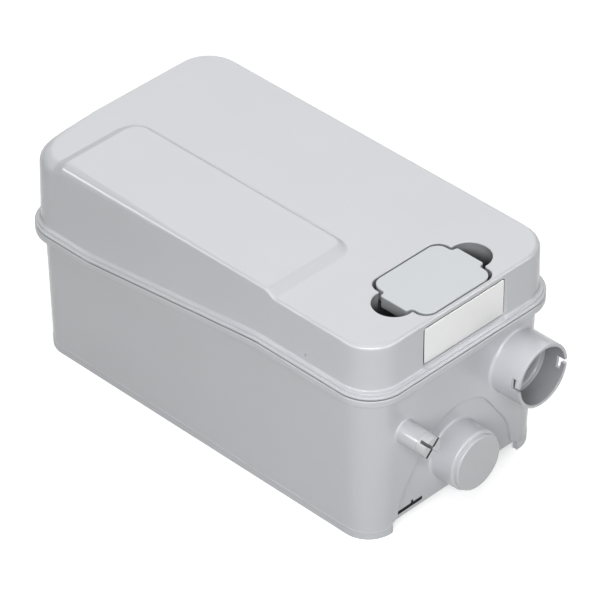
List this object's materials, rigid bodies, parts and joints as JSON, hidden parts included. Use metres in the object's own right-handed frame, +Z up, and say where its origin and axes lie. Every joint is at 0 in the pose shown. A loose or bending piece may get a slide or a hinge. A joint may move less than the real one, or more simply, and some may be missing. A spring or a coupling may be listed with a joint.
{
  "type": "grey-water lifting pump station",
  "caption": "Compact grey-water pump station: light grey tank and screwed cover with a lift-out service cap, side discharge socket, low inlet stub and drain spigot.",
  "frame": {"origin": "under the middle of the tank, on the surface that it stands on", "axes": "+X along the casing towards the end with the ports, +Y towards the long side at the discharge socket, +Z up"},
  "size_m": [0.317, 0.1644, 0.15],
  "materials": {
    "housing": "satin light grey moulding, fine spark texture",
    "plate": "off-white satin sheet",
    "plug_plastic": "satin light grey moulding",
    "valve_plastic": "satin white moulding",
    "pump_plastic": "glass-filled black moulding",
    "switch_plastic": "satin white moulding",
    "electrical_plastic": "satin dark grey moulding",
    "seal_rubber": "matt black",
    "hose_rubber": "matt black, ribbed",
    "tube_rubber": "translucent silicone",
    "stainless": "bright",
    "bearing_steel": "ground",
    "lamination": "stacked sheet",
    "copper": "enamelled wire",
    "motor_alloy": "as cast",
    "capacitor_can": "satin white can",
    "board": "solder resist"
  },
  "bodies": {
    "casing": {"tank": "housing", "top_cover": "housing", "blank_plate": "plate", "valve_seat": "valve_plastic", "pump_casing": "pump_plastic", "suction_cover": "pump_plastic", "suction_strainer": "pump_plastic", "switch_base": "switch_plastic", "pressure_switch": "switch_plastic", "air_bell": "switch_plastic", "control_box": "electrical_plastic", "control_lid": "electrical_plastic", "cable_gland": "electrical_plastic", "gland_nut": "electrical_plastic", "vent_filter": "electrical_plastic", "cover_gasket": "seal_rubber", "outlet_seal": "seal_rubber", "casing_seal": "seal_rubber", "shaft_seal": "seal_rubber", "switch_diaphragm": "seal_rubber", "motor_mounts": "seal_rubber", "discharge_hose": "hose_rubber", "pressure_tube": "tube_rubber", "cover_screws": "stainless", "casing_screws": "stainless", "motor_screws": "stainless", "flap_pin": "stainless", "hose_clamps": "stainless", "switch_spring": "stainless", "front_bearing": "bearing_steel", "rear_bearing": "bearing_steel", "stator_core": "lamination", "stator_windings": "copper", "motor_housing": "motor_alloy", "motor_end_cap": "motor_alloy", "run_capacitor": "capacitor_can", "circuit_board": "board"},
    "cap": {"service_cap": "housing", "service_cap_seal": "seal_rubber"},
    "inlet_stopper": {"inlet_plug": "plug_plastic", "inlet_plug_seal": "seal_rubber"},
    "drain_stopper": {"drain_plug": "plug_plastic", "drain_plug_seal": "seal_rubber"},
    "flap": {"check_flap": "valve_plastic"},
    "rotor": {"rotor_shaft": "stainless", "rotor_core": "lamination", "impeller": "pump_plastic", "impeller_nut": "stainless"},
    "plunger": {"switch_plunger": "switch_plastic"}
  },
  "joints": [
    {"name": "cap_lift", "type": "slide", "parent": "casing", "child": "cap", "axis": [0, 0, 1], "range_m": [0, 0.05]},
    {"name": "inlet_plug_pull", "type": "slide", "parent": "casing", "child": "inlet_stopper", "axis": [1, 0, 0], "range_m": [0, 0.03]},
    {"name": "drain_plug_turn", "type": "hinge", "parent": "casing", "child": "drain_stopper", "pos_m": [0.16, -0.048, 0.0747], "axis": [1, 0, 0], "range_deg": [0, 90]},
    {"name": "flap_swing", "type": "hinge", "parent": "casing", "child": "flap", "pos_m": [0.1128, 0.0472, 0.0876], "axis": [0, -1, 0], "range_deg": [0, 55]},
    {"name": "rotor_spin", "type": "hinge", "parent": "casing", "child": "rotor", "pos_m": [-0.05, -0.01, 0.054], "axis": [1, 0, 0], "continuous": true},
    {"name": "switch_lift", "type": "slide", "parent": "casing", "child": "plunger", "axis": [0, 0, 1], "range_m": [0, 0.0015], "stiffness_N_per_m": 800, "deforming": ["switch_spring"]}
  ]
}
